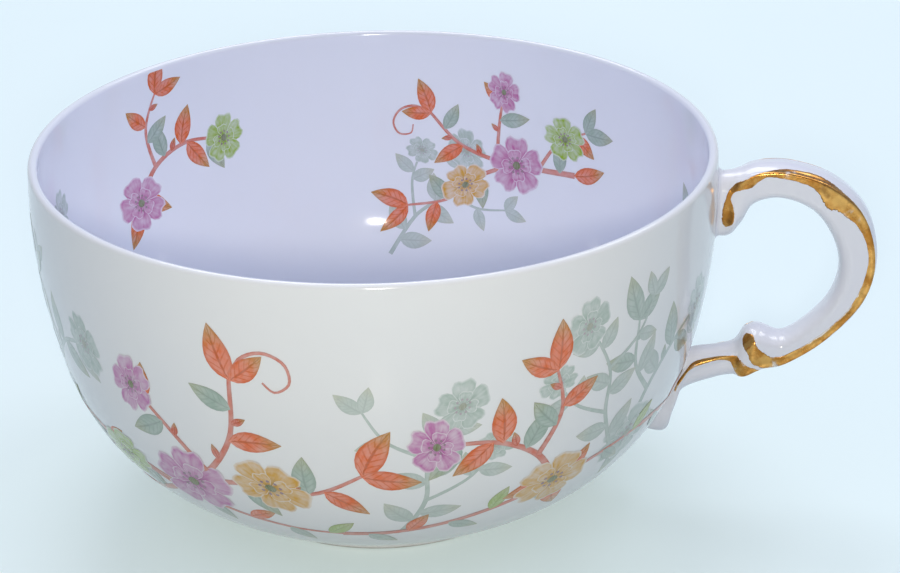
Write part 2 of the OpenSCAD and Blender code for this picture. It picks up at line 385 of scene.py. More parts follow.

# %% [markdown]
# ## Porcelain
#
# Glazed porcelain is a white body under a thin layer of glass. One glossy shader gives both: a white that
# drifts between warm and cool, rare grey specks from the kiln, and a faint unevenness of the glaze that
# keeps reflections from looking machined. Inside the bowl the white is painted bluer, as painted cool
# skylight: an attribute of the mesh says what is inside. The foot ring stands on the kiln shelf, so its
# edge stays bare: matt, grainy and a little darker.

# %% Porcelain
WARM_WHITE, COOL_WHITE = (0.82, 0.80, 0.745, 1.0), (0.79, 0.79, 0.765, 1.0)
# Painted cool skylight: the bluer white inside the bowl.
PAINTED_SKY_WARM, PAINTED_SKY_COOL = (0.83, 0.84, 0.92, 1.0), (0.80, 0.83, 0.92, 1.0)
SPECK = (0.22, 0.20, 0.18, 1.0)
BISCUIT, BISCUIT_DARK = (0.62, 0.58, 0.52, 1.0), (0.44, 0.40, 0.35, 1.0)
GLAZE_ROUGHNESS, BARE_ROUGHNESS = 0.07, 0.55
BARE_FOOT, BARE_WAVE = 0.35, 0.3


def glaze_colour(tree, where, warm=WARM_WHITE, cool=COOL_WHITE):
    """White that drifts over some 30 mm, with a rare speck of about 0.3 mm, painted bluer inside as cool
    skylight.
    """
    drift = noise(tree, where, 30.0)
    white = mix(tree, drift, warm, cool)
    # Painted light: inside the bowl the white turns bluer, as cool skylight.
    painted_sky = mix(tree, drift, PAINTED_SKY_WARM, PAINTED_SKY_COOL)
    cells = add(tree, "ShaderNodeTexVoronoi", {"Vector": where, "Scale": 55.0}).outputs
    near = rise(tree, cells["Distance"], 0.006, 0.011, 1.0, 0.0)
    chance = add(tree, "ShaderNodeSeparateColor", {0: cells["Color"]}).outputs[0]
    speck = times(tree, near, maths(tree, "GREATER_THAN", chance, 0.9))
    return mix(tree, speck, mix(tree, reading(tree, "within")["Fac"], white, painted_sky), SPECK)


def glaze_surface(tree, where, shader, least=GLAZE_ROUGHNESS):
    """Gloss whose roughness and level vary slightly, as on a fired glaze; gives back the roughness."""
    rough = rise(tree, noise(tree, where, 90.0, 3.0), 0.3, 0.7, least, 2 * least)
    swell = bumped(tree, 0.12, 0.0004, noise(tree, where, 130.0))
    feed(tree, shader, {"Roughness": rough, "Normal": swell})
    return rough


def porcelain_finish(name, warm, cool, least=GLAZE_ROUGHNESS):
    """White glaze over the whole piece."""
    material, tree, shader = new_finish(name)
    where = place(tree)
    feed(tree, shader, {"Base Color": glaze_colour(tree, where, warm, cool)})
    glaze_surface(tree, where, shader, least)
    return material


def bowl_finish():
    """White glaze that stops, in a wavy line, just above the edge that the foot ring stands on."""
    material, tree, shader = new_finish("bowl_porcelain")
    where = place(tree)
    wave = times(tree, noise(tree, where, 400.0), BARE_WAVE * MM)
    level = plus(tree, parts(tree, where)["Z"], wave)
    bare = rise(tree, level, BARE_FOOT * MM, 1.6 * BARE_FOOT * MM, 1.0, 0.0)
    grain = mix(tree, noise(tree, where, 2500.0, 4.0), BISCUIT_DARK, BISCUIT)
    rough = glaze_surface(tree, where, shader)
    feed(tree, shader, {"Base Color": mix(tree, bare, glaze_colour(tree, where), grain),
                        "Roughness": plus(tree, rough, times(tree, bare, BARE_ROUGHNESS))})
    return material


print("porcelain ready")

# %% [markdown]
# ## Bowl
#
# The bowl is turned, so one profile says it all: over the lip, down the outside, under the foot ring and
# up the inside. The profile is made of arcs that meet without a kink, the way a profile tool is drawn.
# Leans and slopes are in degrees from upright, shares are ratios, and other sizes are in millimetres.

# %% Profile of the bowl
RIM_D, CUP_H, WALL_T = 95.0, 52.0, 1.3
RIM_LEAN, WALL_ARC, BELLY_SLOPE, BELLY_SHARE = 4.0, 84.0, 15.0, 3.0
FLOOR_T, FLOOR_SHARE, FLOOR_SLOPE = 2.7, 1.2, 90.0
FOOT_D, FOOT_H, FOOT_W, FOOT_DRAFT, FOOT_SLOPE = 48.0, 2.0, 2.4, 0.6, 69.0
RECESS_H, BASE_DOME = 2.2, 0.3
ARC_STEPS = 36


def travel(slope):
    """Unit direction down a profile that has turned in by slope degrees from upright: (across, up)."""
    return np.stack([-np.sin(np.radians(slope)), -np.cos(np.radians(slope))], -1)


def inward(slope):
    """Unit direction square to travel, on the side of the axis."""
    return np.stack([-np.cos(np.radians(slope)), np.sin(np.radians(slope))], -1)


def on_arc(arc, slope):
    """Point of an arc (centre, radius, first and last slope) at a slope: centre less radius times inward."""
    return arc[0] - arc[1] * inward(slope)


def biarc(p, a, q, b, share):
    """Two arcs from p at slope a to q at slope b. Their tangents measure near = share x far, and far follows
    from the rule that the two tangent points are near + far apart."""
    s, t, v = travel(a), travel(b), q - p
    bend, run = 2 * share * (1 - s @ t), 2 * (v @ (t + share * s))
    far = (math.sqrt(run * run + 4 * bend * (v @ v)) - run) / (2 * bend)
    near = share * far
    middle = (q - far * t) - (p + near * s)
    m = math.degrees(math.atan2(-middle[0], -middle[1]))
    r1, r2 = near / math.tan(math.radians((m - a) / 2)), far / math.tan(math.radians((b - m) / 2))
    return [(p + r1 * inward(a), r1, a, m), (q + r2 * inward(b), r2, m, b)]


def chain(arcs):
    """Even points along several arcs, each joint once."""
    runs = [on_arc(arc, np.linspace(arc[2], arc[3], ARC_STEPS + 1)) for arc in arcs]
    return np.vstack([runs[0], *(run[1:] for run in runs[1:])])


lip_centre = np.array([RIM_D / 2 - WALL_T / 2, CUP_H - WALL_T / 2])
wall_arc = (lip_centre + (WALL_ARC - WALL_T / 2) * inward(-RIM_LEAN), WALL_ARC, -RIM_LEAN, BELLY_SLOPE)
inner_arc = (wall_arc[0], WALL_ARC - WALL_T, -RIM_LEAN, BELLY_SLOPE)
foot_top = np.array([FOOT_D / 2, FOOT_H])
floor_top = np.array([0.0, RECESS_H + FLOOR_T])
belly_out, belly_in = (on_arc(arc, BELLY_SLOPE) for arc in (wall_arc, inner_arc))
outer_arcs = [wall_arc, *biarc(belly_out, BELLY_SLOPE, foot_top, FOOT_SLOPE, BELLY_SHARE)]
inner_arcs = [inner_arc, *biarc(belly_in, BELLY_SLOPE, floor_top, FLOOR_SLOPE, FLOOR_SHARE)]
outer_line, inner_line = chain(outer_arcs), chain(inner_arcs)
print("outer wall from", outer_line[0].round(2), "to", outer_line[-1].round(2))

# %% [markdown]
# The lip is a half round, the foot ring has round edges, and its corners are eased as a sponge leaves
# them. Carried round the axis as a grid of points, the profile becomes a closed skin, far smoother than
# the solid's own facets.

# %% Bowl
FOOT_ROUND, FOOT_FILLET = 0.5, 0.8
RING_OUTSIDE, RING_INSIDE = (22.5, -112.5), (-67.5, -202.5)
LIP_STEPS, FOOT_STEPS, EASE_STEPS, BASE_STEPS = 24, 12, 8, 14
SPOKES = 264


def turn(centre, radius, first, last, steps):
    """Points of a round between two angles, its ends left out: an angle is a slope the other way round."""
    return on_arc((np.asarray(centre), radius), -np.linspace(first, last, steps + 1)[1:-1])


def eased(a, corner, b):
    """Corner rounded by the parabola that touches both of its sides, from a to b."""
    t = np.linspace(0, 1, EASE_STEPS + 1)[:, None]
    return (1 - t) ** 2 * a + 2 * t * (1 - t) * corner + t**2 * b


def bowl_profile():
    """Points from the middle of the floor up the inside, over the lip, down the outside and under the base,
    and for each of them 1 on the inside and 0 on the outside."""
    lip = turn(lip_centre, WALL_T / 2, 180 + RIM_LEAN, RIM_LEAN, LIP_STEPS)
    ring_out = FOOT_D / 2 - FOOT_DRAFT
    ring_in = ring_out - FOOT_W
    above = outer_line[np.linalg.norm(outer_line - foot_top, axis=1) > FOOT_FILLET]
    low = foot_top + (np.array([ring_out, FOOT_ROUND]) - foot_top) * FOOT_FILLET / FOOT_H
    neck = eased(above[-1], foot_top, low)[1:]
    outside = turn([ring_out - FOOT_ROUND, FOOT_ROUND], FOOT_ROUND, *RING_OUTSIDE, FOOT_STEPS)
    inside = turn([ring_in + FOOT_ROUND, FOOT_ROUND], FOOT_ROUND, *RING_INSIDE, FOOT_STEPS)
    edge = np.array([ring_in - FOOT_DRAFT, RECESS_H])
    x = np.linspace(edge[0] - FOOT_FILLET, 0, BASE_STEPS)
    dome = np.stack([x, RECESS_H + BASE_DOME * (1 - (x / edge[0]) ** 2)], -1)
    hollow = eased(edge + (np.array([ring_in, FOOT_ROUND]) - edge) * FOOT_FILLET / RECESS_H, edge, dome[0])
    profile = np.vstack([inner_line[::-1], lip, above, neck, outside, inside, hollow, dome[1:]])
    within = np.zeros(len(profile))
    within[:len(inner_line)] = 1
    within[len(inner_line):len(inner_line) + len(lip)] = np.linspace(1, 0, len(lip))
    return profile, within


def revolved(profile, spokes):
    """Closed skin of a profile that starts and ends on the axis: (x cos t, x sin t, z) for every angle t."""
    t = np.linspace(0, 2 * np.pi, spokes, endpoint=False)
    x, z = profile[1:-1, 0][:, None], profile[1:-1, 1][:, None]
    rings = np.stack([x * np.cos(t), x * np.sin(t), z + 0 * t], -1)
    return capped(rings, [[0, 0, profile[0, 1]], [0, 0, profile[-1, 1]]])


profile, within = bowl_profile()
bowl_points, bowl_faces = revolved(profile, SPOKES)
bowl = make_piece("bowl_body", bowl_points, bowl_faces, bowl_finish(), ["bowl"])
set_values(bowl, "within", np.concatenate([np.repeat(within[1:-1], SPOKES), within[[0, -1]]]))
print("lip radius", bowl_points[:, 0].max().round(2), "and height", bowl_points[:, 2].max().round(2), "mm")

# %% [markdown]
# ## Handle
#
# The handle is a slip casting: a C-scroll with a volute at the top, a bow, a lower curl, and an arm with a
# tail that spreads on the wall. It is a loft: a smooth curve runs through stations, and each section is a
# rounded oblong with moulded relief. A station holds the outer edge, the inner edge and the width, all in
# hundredths. An edge is given by its stand-off from the wall, against the handle's reach, and by its depth
# below the crown, against the handle's height.

# %% Skin of the handle
HANDLE_REACH, CROWN_DROP, TAIL_RISE, HANDLE_W = 24.0, 1.8, 8.4, 6.2
UPPER_SEAT, LOWER_SEAT = 16.0, 82.0
SQUARENESS = 0.78
STATIONS = np.array([
    [-16, 4, -7, 24, 96], [0, 3, 9, 25, 98], [6, 2, 15, 20, 104], [16, 0, 19, 13, 98],
    [35, 0, 33, 10.5, 100], [61, 4.5, 53, 14.5, 104], [84, 14.5, 69, 24, 106], [98, 31, 78, 35, 102],
    [98, 46, 78, 46, 100], [84, 60, 70, 55, 98], [65, 69.9, 58, 61, 98], [52, 73, 44, 59, 102],
    [42, 77, 36, 60, 96], [36, 76.5, 32, 65, 74], [26, 78, 22, 67, 72], [9.2, 83, 12, 68, 80],
    [7.6, 92, 6, 69, 84], [4.8, 100, -2, 70, 72], [-21, 97, -16, 72, 56]], float)
LAST = len(STATIONS) - 1
CROWN_Z = CUP_H - CROWN_DROP
HANDLE_H = CROWN_Z - TAIL_RISE


def wall_radius(z):
    """Outer radius of the bowl at a height: on each arc, its centre plus the root of the radius squared less
    the height above the centre squared."""
    z = np.clip(z, FOOT_H, on_arc(wall_arc, -RIM_LEAN)[1])
    spans = [(z <= on_arc(a, a[2])[1] + 1e-9) & (z >= on_arc(a, a[3])[1]) for a in outer_arcs]
    radii = [a[0][0] + np.sqrt(np.maximum(a[1] ** 2 - (z - a[0][1]) ** 2, 0)) for a in outer_arcs]
    return np.select(spans, radii, FOOT_D / 2)


def on_grid(reach, depth):
    """Point of the handle's plane, measured from the straight line through the wall at the two seats."""
    z = CROWN_Z - depth * HANDLE_H / 100
    top, low = (CROWN_Z - seat * HANDLE_H / 100 for seat in (UPPER_SEAT, LOWER_SEAT))
    wall = wall_radius(low) + (wall_radius(top) - wall_radius(low)) * (z - low) / (top - low)
    return np.stack([wall + reach * HANDLE_REACH / 100, z], -1)


def through(rows, u):
    """Smooth curve through a table of rows, with row i at u = i: the uniform Catmull-Rom cubic."""
    last = len(rows) - 1
    i = np.clip(np.floor(u).astype(int), 0, last - 1)
    t = (u - i)[..., None]
    a, b, c, d = rows[np.maximum(i - 1, 0)], rows[i], rows[i + 1], rows[np.minimum(i + 2, last)]
    return b + 0.5 * t * ((c - a) + t * ((2 * a - 5 * b + 4 * c - d) + t * (3 * (b - c) + d - a)))


print("stations reach", on_grid(*STATIONS[:, :2].T)[:, 0].max().round(2), "mm from the axis")

# %% [markdown]
# The relief is what the mould's carving adds: a ridge on each shoulder of the scroll, another along the
# arm, the eye of the volute and the swell of the lower curl, less a shallow hollow along the side of the
# bow.

# %% Relief of the handle
RIDGE_H, RIDGE_ANGLE, RIDGE_HALF, RIDGE_RUN = 0.4, 42.0, 10.0, (1.2, 2.6, 11.6, 12.6)
ARM_HALF, ARM_RUN = 12.0, (12.4, 13.2, 16.0, 17.4)
ARM_FROM, ARM_CLIMB, ARM_CLIMB_RUN = -27.0, 20.0, (13.2, 17.4)
SCROLL_H = 0.45
VOLUTE_EYE, LOWER_CURL = (1.45, 0.4, -22.0, 20.0), (11.3, 0.5, -30.0, 24.0)
HOLLOW, HOLLOW_HALF, HOLLOW_RUN = 0.25, 24.0, (2.0, 3.5, 10.0, 11.5)


def bump(x, half):
    """Bell curve of height 1."""
    return np.exp(-((x / half) ** 2))


def ramp(x, low, high):
    """Smooth step from 0 at low to 1 at high."""
    t = np.clip((x - low) / (high - low), 0, 1)
    return t * t * (3 - 2 * t)


def along(u, start, full, fade, end):
    """1 between full and fade, easing to 0 at start and end."""
    return ramp(u, start, full) * (1 - ramp(u, fade, end))


def boss(u, a, at, length, angle, width):
    """Round boss of height 1 about a station and an angle: the product of two bell curves."""
    return bump(u - at, length) * bump(a - angle, width)


def relief(u, a):
    """Moulded height on a section: ridges, volute eye and lower curl, less the hollow of the side."""
    arm_angle = ARM_CLIMB * ramp(u, *ARM_CLIMB_RUN) + ARM_FROM
    ridges = along(u, *RIDGE_RUN) * bump(a - RIDGE_ANGLE, RIDGE_HALF)
    arm_ridge = along(u, *ARM_RUN) * bump(a - arm_angle, ARM_HALF)
    bosses = boss(u, a, *VOLUTE_EYE) + boss(u, a, *LOWER_CURL)
    hollow = along(u, *HOLLOW_RUN) * bump(a, HOLLOW_HALF)
    return RIDGE_H * (ridges + arm_ridge) + SCROLL_H * bosses - HOLLOW * hollow


def skin(u, a, lift=0.0):
    """Point of the handle at station u and section angle a: 90 is the outer edge, -90 the inner edge, 0 the
    far side and 180 the near side. Sine and cosine to a power under 1 square the section, and lift moves
    the point outwards."""
    row = through(STATIONS, u)
    outer, inner = on_grid(row[..., 0], row[..., 1]), on_grid(row[..., 2], row[..., 3])
    half = (outer - inner) / 2
    unit = half / np.linalg.norm(half, axis=-1, keepdims=True)
    sine, cosine = np.sin(np.radians(a)), np.cos(np.radians(a))
    squared_sine, squared_cosine = (np.sign(s) * np.abs(s) ** SQUARENESS for s in (sine, cosine))
    push = lift + relief(u, np.where(a <= 90, a, 180 - a))
    y = HANDLE_W / 200 * row[..., 4] * squared_cosine + push * cosine
    p = (outer + inner) / 2 + half * squared_sine[..., None] + unit * (push * sine)[..., None]
    return np.stack([p[..., 0], y, p[..., 1]], -1)


crown = skin(np.array([4.0]), np.array([90.0]))[0]
print("crown of the handle at", crown.round(2), "mm")

# %% [markdown]
# The loft must end in the wall, not run through it into the bowl. For every section angle, a fine search
# along the stations finds where the skin enters the wall, and the rings of the mesh run from one entry to
# the other.

# %% Handle
RINGS, AROUND = 340, 120
SEARCH_STEPS = 40
SUNK = 0.6
# The handle's porcelain white, tinted bluer than the bowl's as painted cool shade.
SHADED_HANDLE_WARM, SHADED_HANDLE_COOL = (0.81, 0.80, 0.81, 1.0), (0.78, 0.78, 0.85, 1.0)


def entries(angles, depth):
    """First and last station, for each angle, where the skin is depth inside the wall (or -depth outside)."""
    u = np.linspace(0, LAST, SEARCH_STEPS * LAST + 1)
    p = skin(u[:, None] + 0 * angles, angles + 0 * u[:, None])
    clear = np.hypot(p[..., 0], p[..., 1]) - wall_radius(p[..., 2]) + depth
    column = np.arange(len(angles))

    def crossing(outside, inside):
        a, b = clear[inside, column], clear[outside, column]
        return u[inside] + (u[outside] - u[inside]) * a / (a - b)

    first = np.maximum((clear > 0).argmax(0), 1)
    last = np.minimum(len(u) - 1 - (clear[::-1] > 0).argmax(0), len(u) - 2)
    return crossing(first, first - 1), crossing(last, last + 1)


section = np.linspace(-90, 270, AROUND, endpoint=False)
start, end = entries(section, SUNK)
way_along = np.linspace(0, 1, RINGS)[:, None]
handle_rings = skin(start + way_along * (end - start), section + 0 * way_along)
handle_points, handle_faces = capped(handle_rings, [handle_rings[k].mean(0) for k in (0, -1)])
handle_finish = porcelain_finish("handle_porcelain", SHADED_HANDLE_WARM, SHADED_HANDLE_COOL)
make_piece("scroll_handle", handle_points, handle_faces, handle_finish, ["handle"])

# %% [markdown]
# ## Slip joints
#
# Luting slip sticks the handle to the bowl and is smoothed with a brush, so it ends as a small hollow
# fillet. A fillet is a quarter circle carried round the seam: towards the handle it is tangent to the
# skin, towards the bowl to the wall.

# %% Slip joints
FILLET = 0.75
FILLET_STEPS = 10
UNDER = 0.02
ROOT_DEPTH = 0.35
SLIP_ROUGHNESS = 0.22


def slip_fillet(name, upper, stands_for):
    """Ring whose section is the quarter circle d = R(1 - sin t), h = R(1 - cos t), with d the way from the
    wall and h the height above the handle's skin, closed by a hidden corner inside both."""
    t = np.linspace(0, np.pi / 2, FILLET_STEPS + 1)
    gap = np.append(FILLET * (1 - np.sin(t)) - UNDER * np.sin(t), -ROOT_DEPTH)
    lift = np.append(FILLET * (1 - np.cos(t)) - UNDER * np.cos(t), -ROOT_DEPTH)
    u = np.stack([entries(section, -g)[0 if upper else 1] for g in gap])
    p = skin(u, section + 0 * u, lift[:, None] + 0 * u)
    scale = (wall_radius(p[..., 2]) + gap[:, None]) / np.hypot(p[..., 0], p[..., 1])
    p[..., :2] *= scale[..., None]
    points = p.transpose(1, 0, 2).reshape(-1, 3)
    faces = [quads_of(AROUND, len(gap), around=True, closed=True)]
    # The fillets take the handle's bluer white, painted cool shade.
    finish = porcelain_finish(name, SHADED_HANDLE_WARM, SHADED_HANDLE_COOL, SLIP_ROUGHNESS)
    return make_piece(name, points, faces, finish, stands_for)


slip_fillet("upper_slip_fillet", True, ["upper_slip_joint"])
slip_fillet("lower_slip_fillet", False, ["lower_slip_joint"])

# %% [markdown]
# ## Gilding
#
# The gold was painted on with a brush and fired. It shines as metal where it lies thick, and lets the
# white glaze through where hands have rubbed it, so one finish mixes metal and glaze by noise and by how
# exposed a point is.

# %% Gold
GOLD, GOLD_PALE, GOLD_DARK = srgb(176, 118, 52), srgb(212, 162, 92), srgb(118, 74, 34)


def gold_finish():
    """Fired gold: brushed light and dark, and rubbed thin to the glaze in patches, mostly at its edge."""
    material, tree, shader = new_finish("fired_gold")
    where = place(tree)
    fine = noise(tree, where, 700.0, 3.0)
    tone = rise(tree, noise(tree, where, 420.0, 4.0, 0.6), 0.35, 0.65)
    shade = times(tree, rise(tree, fine, 0.5, 0.75), 0.6)
    metal = mix(tree, shade, mix(tree, tone, GOLD, GOLD_PALE), GOLD_DARK)
    exposed = rise(tree, reading(tree, "rub")["Fac"], 0.6, 1.7, 0.0, 0.28)
    thin = plus(tree, noise(tree, where, 330.0, 4.0, 0.6), exposed)
    worn = rise(tree, thin, 0.60, 0.76, 0.0, 0.8)
    feed(tree, shader, {"Base Color": mix(tree, worn, metal, glaze_colour(tree, where)),
                        "Metallic": maths(tree, "SUBTRACT", 1.0, worn),
                        "Roughness": rise(tree, tone, 0.0, 1.0, 0.30, 0.18),
                        "Normal": bumped(tree, 0.2, 0.0001, fine)})
    return material


fired_gold = gold_finish()
print("gold ready")

# %% [markdown]
# A stroke is a thin film on the handle's skin: along the ridges of the scroll, with a broad patch on the
# bow and a hook round the lower curl, and along the arm. It is a grid between two edges, which are given
# as ribs across it: station and angle on one side, station and angle on the other. The edges waver as a
# hand does.

# %% Gilding
GILT_T, GILT_SUNK = 0.05, 0.01
GILT_ACROSS, GILT_PER_RIB = 16, 10
GILT_ROUND, GILT_TIP = 8, 0.03
WAVER, WAVER_PER_RIB = 0.06, 4
RUBBED_AT, RUBBED_SPAN, RUBBED = 8.5, 1.1, 0.9
LOOP_RIBS = np.array([
    [0.9, -25, 1.0, -25], [0.8, -15, 1.4, -20], [0.8, 0, 1.5, -5], [0.9, 15, 1.2, 15], [1.1, 35, 1.5, 25],
    [1.7, 45, 2.2, 20], [2.6, 40, 2.8, 10], [3.2, 50, 3.3, 30], [3.7, 65, 3.8, 25], [4.5, 75, 4.5, 20],
    [4.8, 70, 4.9, 0], [5.0, 65, 5.2, -10], [5.3, 55, 5.4, 0], [5.6, 50, 5.7, 5], [6.0, 45, 6.0, 15],
    [6.7, 45, 6.7, 25], [7.5, 45, 7.5, 15], [8.5, 40, 8.5, 10], [9.5, 45, 9.5, 5], [10.3, 50, 10.4, 5],
    [10.8, 45, 10.7, 0], [11.3, 25, 11.0, -10], [11.7, -5, 11.2, -25], [12.1, -30, 11.3, -45],
    [12.2, -55, 11.4, -55], [12.0, -70, 11.7, -65]], float)
BRACKET_RIBS = np.array([
    [11.1, 55, 11.1, 40], [11.5, 55, 11.5, 25], [11.9, 55, 11.8, 10], [12.4, 55, 12.1, 0],
    [12.8, 30, 12.4, -5], [13.1, 0, 12.8, -20], [13.5, -15, 13.4, -30], [14.0, -20, 14.0, -35],
    [14.8, -15, 14.9, -35], [15.7, -10, 16.0, -20], [16.2, -5, 16.5, -10], [16.4, 0, 16.6, -5]], float)
FAR_EDGE = 46.0


def lowered(ribs):
    """Ribs of a stroke on the far side, painted a little lower: its upper edge stops at the ridge."""
    return np.minimum(ribs, [np.inf, FAR_EDGE, np.inf, FAR_EDGE])


def waver(t, seed):
    """Slow wander of a brush, between about -1 and 1: three sines of unlike lengths."""
    return (np.sin(2.3 * t + seed) + np.sin(5.1 * t + 2 * seed) + 0.6 * np.sin(11.7 * t + 3 * seed)) / 2.6


def closed_film(top, bottom):
    """Points and faces of a film whose upper and lower grids share their border. Each cell is split by the
    diagonal that runs towards the middle, so no triangle of one grid lies on a triangle of the other."""
    rows, cols = top.shape[:2]
    upper = np.arange(rows * cols).reshape(rows, cols)
    lower = upper.copy()
    lower[1:-1, 1:-1] = rows * cols + np.arange((rows - 2) * (cols - 2)).reshape(rows - 2, cols - 2)
    quads = quads_of(rows, cols)
    i, j = np.divmod(np.arange(len(quads)), cols - 1)
    crosswise = (2 * i < rows - 1) != (2 * j < cols - 1)
    quads = np.where(crosswise[:, None], np.roll(quads, -1, 1), quads)
    halves = np.vstack([quads[:, [0, 1, 2]], quads[:, [0, 2, 3]]])
    points = np.vstack([top.reshape(-1, 3), bottom[1:-1, 1:-1].reshape(-1, 3)])
    return points, [upper.ravel()[halves], lower.ravel()[halves][:, ::-1]]


def brush_stroke(ribs, near, seed):
    """Film on the handle's skin between the two edges of the ribs, with round ends and wavering sides, and
    how much each of its points is rubbed: most at the edges, and on the lower bow, where a finger rests."""
    i = np.linspace(0, len(ribs) - 1, GILT_PER_RIB * (len(ribs) - 1) + 1)
    rib = through(ribs, i)
    from_end = np.minimum(np.arange(len(i)), np.arange(len(i))[::-1])
    round_end = np.sqrt(np.clip(1 - (1 - from_end / GILT_ROUND).clip(0) ** 2, GILT_TIP, 1))[:, None]
    middle, half = (rib[:, :2] + rib[:, 2:]) / 2, (rib[:, 2:] - rib[:, :2]) / 2 * round_end
    w = np.linspace(-1, 1, GILT_ACROSS)
    wide = np.stack([1 + WAVER * waver(WAVER_PER_RIB * i, seed + k) for k in (0, 1)], -1)
    side = np.where(w < 0, w * wide[:, :1], w * wide[:, 1:])
    spot = middle[:, None, :] + side[..., None] * half[:, None, :]
    crown_lift = GILT_T * (1 - w**6) - GILT_SUNK
    over = skin(spot[..., 0], spot[..., 1], crown_lift + 0 * side)
    below = skin(spot[..., 0], spot[..., 1], 0 * side - GILT_T)
    mirror = np.array([1, -1 if near else 1, 1])
    points, faces = closed_film(over * mirror, below * mirror)
    rub = np.abs(w) + RUBBED * bump(spot[..., 0] - RUBBED_AT, RUBBED_SPAN) * (1 + w) / 2
    return points, faces, np.append(rub.ravel(), np.zeros(len(points) - rub.size))


for side, near in (("near", True), ("far", False)):
    for stroke, ribs in (("loop", LOOP_RIBS), ("bracket", BRACKET_RIBS)):
        points, faces, rub = brush_stroke(ribs if near else lowered(ribs), near, len(ribs) + near)
        name, node = f"{side}_{stroke}_gold", f"{side}_{stroke}_gilding"
        set_values(make_piece(name, points, faces, fired_gold, [node]), "rub", rub)

# %% [markdown]
# ## Inks of the flower prints
#
# Printed porcelain carries thin films of ceramic colour, fired into the glaze, so they are as glossy as
# the white around them. Each ink is laid over the same white as the bowl's own finish, so a film has no
# edge where its ink fades out. A petal is streaked and blotched, deep at its heart and fading at its
# edge, a leaf has a midrib and veins, and a line is plain. Colour and strength are attributes of the
# mesh, so one finish serves every blossom.

# %% Inks
INKS = {
    "peach": srgb(224, 100, 28), "rust": srgb(204, 84, 36), "mauve": srgb(184, 100, 156),
    "ochre": srgb(206, 154, 44), "lime": srgb(142, 174, 20), "sage": srgb(126, 156, 132),
    "olive": srgb(96, 104, 30), "plum": srgb(112, 52, 84)}
LEAF_TIP = srgb(156, 150, 52)
LEAF_TIP_SHARE = 0.55
DEEP = 0.42


def petal_ink(tree, u, v, across, seed):
    """Watercolour petal, deep at the heart, streaked, blotched and fading at its edge: density and depth of
    the ink."""
    streak = scaled(tree, noise(tree, joined(tree, times(tree, u, 7.0), v, seed), 1.3, 3.0), 0.75, -0.375)
    blotch = scaled(tree, noise(tree, joined(tree, u, v, seed), 2.4), 0.9, -0.45)
    heart = rise(tree, v, 0.08, 0.85, 1.0, 0.0)
    edge = larger(tree, across, v)
    brim = rise(tree, edge, 0.72, 0.95, 0.0, 0.16)
    body = plus(tree, scaled(tree, heart, 0.28, 0.72), plus(tree, streak, blotch))
    faded = times(tree, plus(tree, body, brim, True), rise(tree, edge, 0.88, 1.0, 1.0, 0.35))
    return faded, rise(tree, v, 0.05, 0.55, 0.5, 0.0)


def leaf_ink(tree, u, v, across, seed):
    """Faint midrib and slanting side veins on a blotched blade: density and depth of the ink."""
    slant = times(tree, maths(tree, "SUBTRACT", v, times(tree, across, 0.22)), 44.0)
    vein = rise(tree, maths(tree, "SINE", slant), 0.45, 0.95, 0.0, 0.22)
    midrib = rise(tree, across, 0.02, 0.16, 0.5, 0.0)
    rim = rise(tree, across, 0.66, 0.97, 0.0, 0.24)
    blade = rise(tree, noise(tree, joined(tree, u, v, seed), 3.2, 3.0), 0.28, 0.72, 0.80, 1.0)
    depth = larger(tree, larger(tree, midrib, vein), rim)
    return plus(tree, blade, times(tree, depth, 0.5), True), depth


def line_ink(tree, u, v, across, seed):
    """Plain line that thins and thickens: density and depth of the ink."""
    flow = noise(tree, joined(tree, u, times(tree, v, 14.0), seed), 1.0)
    return rise(tree, flow, 0.3, 0.7, 0.8, 1.0), rise(tree, across, 0.3, 1.0, 0.0, 0.35)


def ink_finish(name, pattern, tip_share=0.0):
    """Ink over white glaze. The film's own map gives the way across u and the way along v, and the pattern
    turns them into density and depth. Leaves turn to another tint at the tip."""
    material, tree, shader = new_finish(name)
    where = place(tree)
    film = parts(tree, add(tree, "ShaderNodeUVMap", {}, uv_map="film").outputs[0])
    u, v = film["X"], film["Y"]
    across = maths(tree, "ABSOLUTE", scaled(tree, u, 2.0, -1.0))
    density, depth = pattern(tree, u, v, across, reading(tree, "seed")["Fac"])
    ink = reading(tree, "ink")
    colour = ink["Color"]
    if tip_share:
        colour = mix(tree, times(tree, rise(tree, v, 0.45, 1.0), tip_share), colour, LEAF_TIP)
    dark = add(tree, "ShaderNodeVectorMath", {0: colour, "Scale": DEEP}, operation="SCALE").outputs[0]
    wash = rise(tree, noise(tree, where, 800.0, 3.0), 0.3, 0.7, 0.88, 1.0)
    cover = times(tree, times(tree, density, ink["Alpha"]), wash)
    inked = mix(tree, cover, glaze_colour(tree, where), mix(tree, depth, colour, dark))
    feed(tree, shader, {"Base Color": inked})
    glaze_surface(tree, where, shader)
    return material


INK_FINISHES = [ink_finish("petal_ink", petal_ink), ink_finish("leaf_ink", leaf_ink, LEAF_TIP_SHARE),
                ink_finish("line_ink", line_ink)]
PETAL, LEAF, LINE = range(3)
print("inks:", ", ".join(INKS))

# %% [markdown]
# ## Laying a print on the wall
#
# The print is drawn flat, in millimetres to the right and up, and laid on the wall by arc length: a
# height y above a point of the wall moves along its profile, and a way x to the right turns round the
# axis by x over the local radius. So motifs keep their size on the curved belly.

# %% Wall maps


def wall_map(line, outside):
    """Profile by arc length from the lip: lengths, radii, heights and the two parts of the outward normal."""
    step = np.linalg.norm(np.diff(line, axis=0), axis=1)
    tangent = np.gradient(line, axis=0)
    tangent /= np.linalg.norm(tangent, axis=1, keepdims=True)
    normal = np.stack([-tangent[:, 1], tangent[:, 0]], -1) * (1 if outside else -1)
    return np.column_stack([np.append(0, np.cumsum(step)), line, normal])


OUTER_WALL, INNER_WALL = wall_map(outer_line, True), wall_map(inner_line, False)


